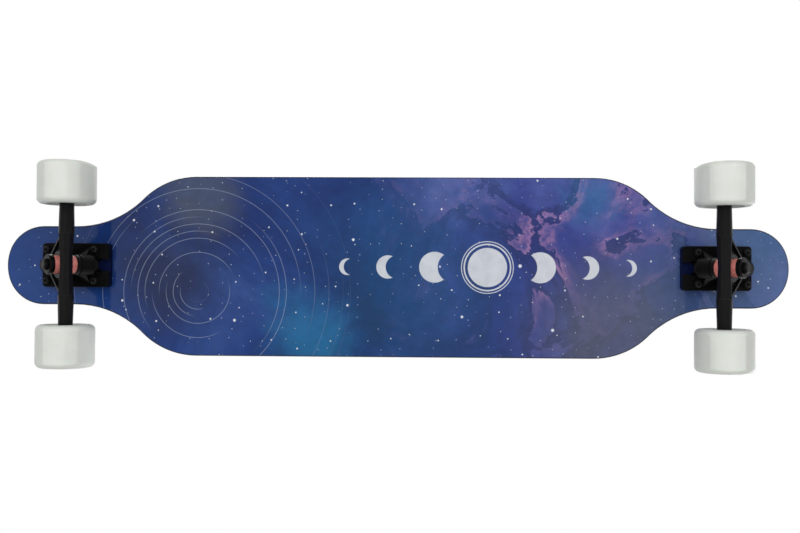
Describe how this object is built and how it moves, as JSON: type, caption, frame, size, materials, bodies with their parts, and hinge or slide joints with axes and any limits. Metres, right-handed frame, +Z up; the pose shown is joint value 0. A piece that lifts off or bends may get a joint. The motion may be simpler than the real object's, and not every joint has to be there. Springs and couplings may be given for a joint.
{
  "type": "longboard skateboard",
  "caption": "Longboard skateboard: a double-ended maple deck with narrowed ends on steering reverse-kingpin trucks with urethane wheels and ball bearings.",
  "frame": {"origin": "on the ground under the middle of the deck, with the board standing on its wheels", "axes": "+X along the board to the nose, +Y across it to the left, +Z up"},
  "size_m": [1.041, 0.26, 0.1203],
  "materials": {
    "deck_maple": "pressed maple plies, printed and lacquered underneath",
    "grip": "coarse abrasive sheet",
    "riser_rubber": "navy hard rubber pad",
    "truck_casting": "black powder-coated casting",
    "black_steel": "black oxide steel",
    "bright_steel": "bright zinc-plated steel",
    "bushing_urethane": "coral-red cast urethane",
    "pivot_urethane": "black cast urethane",
    "wheel_urethane": "off-white cast urethane",
    "wheel_core": "off-white moulded core",
    "shield_rubber": "thin black seal",
    "cage_nylon": "natural nylon"
  },
  "bodies": {
    "board": {"deck": "deck_maple", "grip_tape": "grip", "front_riser_pad": "riser_rubber", "front_baseplate": "truck_casting", "front_pivot_cup": "pivot_urethane", "front_kingpin": "black_steel", "front_kingpin_nut": "black_steel", "front_roadside_washer": "black_steel", "front_boardside_washer": "black_steel", "front_roadside_bushing": "bushing_urethane", "front_boardside_bushing": "bushing_urethane", "front_mounting_bolts": "black_steel", "front_mounting_nuts": "black_steel", "rear_riser_pad": "riser_rubber", "rear_baseplate": "truck_casting", "rear_pivot_cup": "pivot_urethane", "rear_kingpin": "black_steel", "rear_kingpin_nut": "black_steel", "rear_roadside_washer": "black_steel", "rear_boardside_washer": "black_steel", "rear_roadside_bushing": "bushing_urethane", "rear_boardside_bushing": "bushing_urethane", "rear_mounting_bolts": "black_steel", "rear_mounting_nuts": "black_steel"},
    "front_steering": {"front_hanger": "truck_casting", "front_axle": "bright_steel", "front_speed_rings": "bright_steel", "front_axle_nuts": "bright_steel", "front_bearing_inner_races": "bright_steel", "front_bearing_spacers": "bright_steel"},
    "front_left_wheel": {"front_left_tyre": "wheel_urethane", "front_left_core": "wheel_core", "front_left_bearing_outer_races": "bright_steel", "front_left_bearing_shields": "shield_rubber"},
    "front_left_ball_set": {"front_left_bearing_balls": "bright_steel", "front_left_bearing_cages": "cage_nylon"},
    "front_right_wheel": {"front_right_tyre": "wheel_urethane", "front_right_core": "wheel_core", "front_right_bearing_outer_races": "bright_steel", "front_right_bearing_shields": "shield_rubber"},
    "front_right_ball_set": {"front_right_bearing_balls": "bright_steel", "front_right_bearing_cages": "cage_nylon"},
    "rear_steering": {"rear_hanger": "truck_casting", "rear_axle": "bright_steel", "rear_speed_rings": "bright_steel", "rear_axle_nuts": "bright_steel", "rear_bearing_inner_races": "bright_steel", "rear_bearing_spacers": "bright_steel"},
    "rear_left_wheel": {"rear_left_tyre": "wheel_urethane", "rear_left_core": "wheel_core", "rear_left_bearing_outer_races": "bright_steel", "rear_left_bearing_shields": "shield_rubber"},
    "rear_left_ball_set": {"rear_left_bearing_balls": "bright_steel", "rear_left_bearing_cages": "cage_nylon"},
    "rear_right_wheel": {"rear_right_tyre": "wheel_urethane", "rear_right_core": "wheel_core", "rear_right_bearing_outer_races": "bright_steel", "rear_right_bearing_shields": "shield_rubber"},
    "rear_right_ball_set": {"rear_right_bearing_balls": "bright_steel", "rear_right_bearing_cages": "cage_nylon"}
  },
  "joints": [
    {"name": "front_steer", "type": "hinge", "parent": "board", "child": "front_steering", "pos_m": [0.42496, 0, 0.05407], "axis": [0.7071, 0, 0.7071], "range_deg": [-18, 18], "stiffness_Nm_per_rad": 40, "deforming": ["front_roadside_bushing", "front_boardside_bushing"]},
    {"name": "front_left_spin", "type": "hinge", "parent": "front_steering", "child": "front_left_wheel", "pos_m": [0.41304, 0.103, 0.036], "axis": [0, 1, 0], "continuous": true},
    {"name": "front_left_ball_orbit", "type": "hinge", "parent": "front_steering", "child": "front_left_ball_set", "pos_m": [0.41304, 0.103, 0.036], "axis": [0, 1, 0], "continuous": true},
    {"name": "front_right_spin", "type": "hinge", "parent": "front_steering", "child": "front_right_wheel", "pos_m": [0.41304, -0.103, 0.036], "axis": [0, 1, 0], "continuous": true},
    {"name": "front_right_ball_orbit", "type": "hinge", "parent": "front_steering", "child": "front_right_ball_set", "pos_m": [0.41304, -0.103, 0.036], "axis": [0, 1, 0], "continuous": true},
    {"name": "rear_steer", "type": "hinge", "parent": "board", "child": "rear_steering", "pos_m": [-0.42496, 0, 0.05407], "axis": [-0.7071, 0, 0.7071], "range_deg": [-18, 18], "stiffness_Nm_per_rad": 40, "deforming": ["rear_roadside_bushing", "rear_boardside_bushing"]},
    {"name": "rear_left_spin", "type": "hinge", "parent": "rear_steering", "child": "rear_left_wheel", "pos_m": [-0.41304, 0.103, 0.036], "axis": [0, 1, 0], "continuous": true},
    {"name": "rear_left_ball_orbit", "type": "hinge", "parent": "rear_steering", "child": "rear_left_ball_set", "pos_m": [-0.41304, 0.103, 0.036], "axis": [0, 1, 0], "continuous": true},
    {"name": "rear_right_spin", "type": "hinge", "parent": "rear_steering", "child": "rear_right_wheel", "pos_m": [-0.41304, -0.103, 0.036], "axis": [0, 1, 0], "continuous": true},
    {"name": "rear_right_ball_orbit", "type": "hinge", "parent": "rear_steering", "child": "rear_right_ball_set", "pos_m": [-0.41304, -0.103, 0.036], "axis": [0, 1, 0], "continuous": true}
  ],
  "couplings": [
    {"joint": "front_left_ball_orbit", "follows": "front_left_spin", "ratio": 0.6315},
    {"joint": "front_right_ball_orbit", "follows": "front_right_spin", "ratio": 0.6315},
    {"joint": "rear_left_ball_orbit", "follows": "rear_left_spin", "ratio": 0.6315},
    {"joint": "rear_right_ball_orbit", "follows": "rear_right_spin", "ratio": 0.6315}
  ]
}
